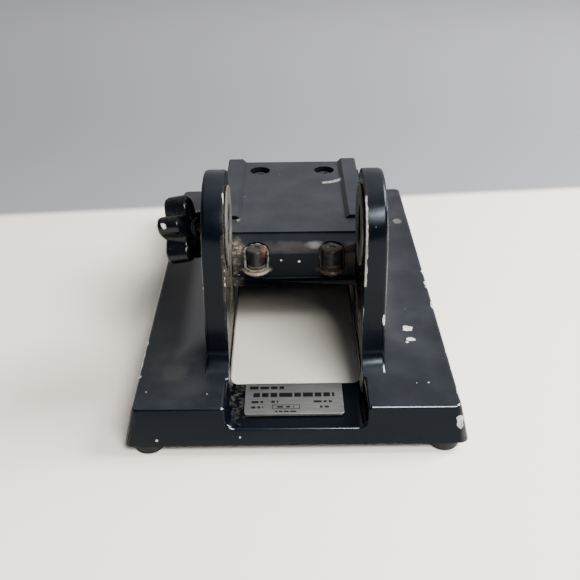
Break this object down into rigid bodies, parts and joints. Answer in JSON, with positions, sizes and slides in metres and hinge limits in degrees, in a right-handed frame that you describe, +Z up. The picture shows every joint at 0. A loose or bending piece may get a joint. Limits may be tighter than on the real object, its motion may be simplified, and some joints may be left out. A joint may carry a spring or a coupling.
{
  "type": "lensmeter stand",
  "caption": "Cast lensmeter stand: drafted base with open centre, two pivot uprights, bolted rear bridge with rails and a star clamp knob.",
  "frame": {"origin": "on the table, under the middle of the base", "axes": "+X to the user's right, +Y to the rear, +Z up; the user sits at -Y"},
  "size_m": [0.1906, 0.3104, 0.1354],
  "materials": {
    "black_enamel": "semi-gloss black stove enamel, chipped at the edges",
    "bridge_paint": "flat black paint with a grey dust film",
    "black_steel": "black oxide",
    "zinc_steel": "dull zinc plate",
    "phenolic": "moulded black phenolic",
    "cream_fibre": "worn cream friction fibre",
    "grey_fibre": "dull grey-green friction fibre",
    "plate_metal": "brushed, lacquered",
    "adhesive_foam": "aged foam tape",
    "foot_rubber": "moulded black rubber"
  },
  "bodies": {
    "stand": {"base_casting": "black_enamel", "bridge_screw_front_left": "black_steel", "bridge_screw_front_right": "black_steel", "bridge_screw_rear_left": "black_steel", "bridge_screw_rear_right": "black_steel", "bridge_washer_front_left": "zinc_steel", "bridge_washer_front_right": "zinc_steel", "bridge_washer_rear_left": "zinc_steel", "bridge_washer_rear_right": "zinc_steel", "foot_front_left": "foot_rubber", "foot_front_right": "foot_rubber", "foot_rear_left": "foot_rubber", "foot_rear_right": "foot_rubber", "foot_screw_front_left": "zinc_steel", "foot_screw_front_right": "zinc_steel", "foot_screw_rear_left": "zinc_steel", "foot_screw_rear_right": "zinc_steel", "foot_washer_front_left": "zinc_steel", "foot_washer_front_right": "zinc_steel", "foot_washer_rear_left": "zinc_steel", "foot_washer_rear_right": "zinc_steel", "friction_washer_left": "cream_fibre", "friction_washer_right": "grey_fibre", "nameplate": "plate_metal", "nameplate_pad": "adhesive_foam", "pivot_pin_right": "zinc_steel", "rear_bridge": "bridge_paint"},
    "stud_rocker": {"thrust_washer": "black_steel"},
    "clamp_knob_assembly": {"clamp_knob": "phenolic", "knob_insert": "black_steel", "clamp_stud": "black_steel", "retaining_clip": "black_steel"}
  },
  "joints": [
    {"name": "stud_rock", "type": "hinge", "parent": "stand", "child": "stud_rocker", "pos_m": [-0.047, -0.078, 0.103], "axis": [0, -0.7474, -0.6644], "range_deg": [-19.8, 0]},
    {"name": "knob_spin", "type": "hinge", "parent": "stud_rocker", "child": "clamp_knob_assembly", "pos_m": [-0.047, -0.078, 0.103], "axis": [-0.9405, 0.2257, -0.2539], "continuous": true}
  ]
}
